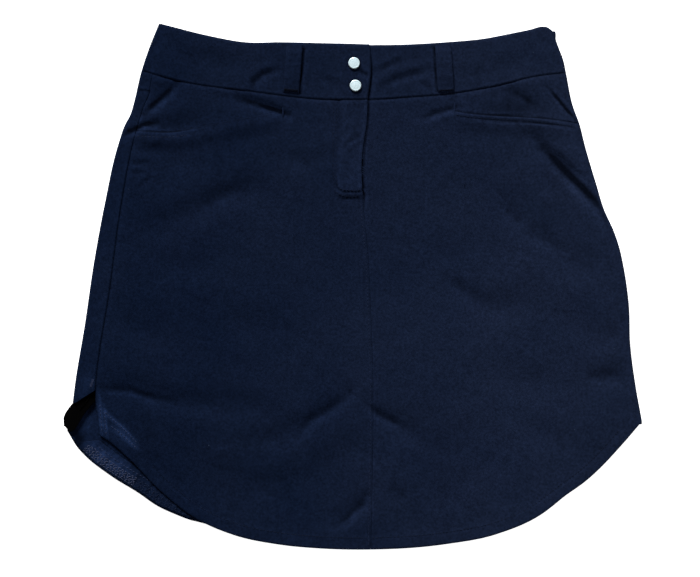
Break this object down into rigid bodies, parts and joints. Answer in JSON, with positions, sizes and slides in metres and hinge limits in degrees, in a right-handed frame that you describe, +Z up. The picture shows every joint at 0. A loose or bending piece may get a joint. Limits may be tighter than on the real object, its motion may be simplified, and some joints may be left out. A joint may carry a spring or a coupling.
{
  "type": "golf skort",
  "caption": "Golf skort laid flat on its back, with snapped waistband, belt loops, pocket mouths, curved hem, side vent and inner short.",
  "frame": {"origin": "on the floor, under the middle of the laid garment's outline", "axes": "+X across the garment to the viewer's right, +Y towards the waist, +Z up through its layers"},
  "size_m": [0.5194, 0.4726, 0.0101],
  "materials": {
    "skirt_cloth": "fine matt stretch weave, dark navy",
    "short_knit": "plain black knit",
    "zip_tape": "woven navy tape",
    "snap_metal": "pearly silver"
  },
  "bodies": {
    "root": {"front_left": "skirt_cloth", "front_right": "skirt_cloth", "pocket_side_left": "skirt_cloth", "pocket_side_right": "skirt_cloth", "back_panel": "skirt_cloth", "back_yoke": "skirt_cloth", "band_left": "skirt_cloth", "band_right": "skirt_cloth", "band_back": "skirt_cloth", "belt_loop_left": "skirt_cloth", "belt_loop_right": "skirt_cloth", "hem_turn_up": "skirt_cloth", "snap_upper": "snap_metal", "snap_lower": "snap_metal", "fly_zip": "zip_tape", "shorts_left": "short_knit", "shorts_right": "short_knit"}
  },
  "joints": []
}
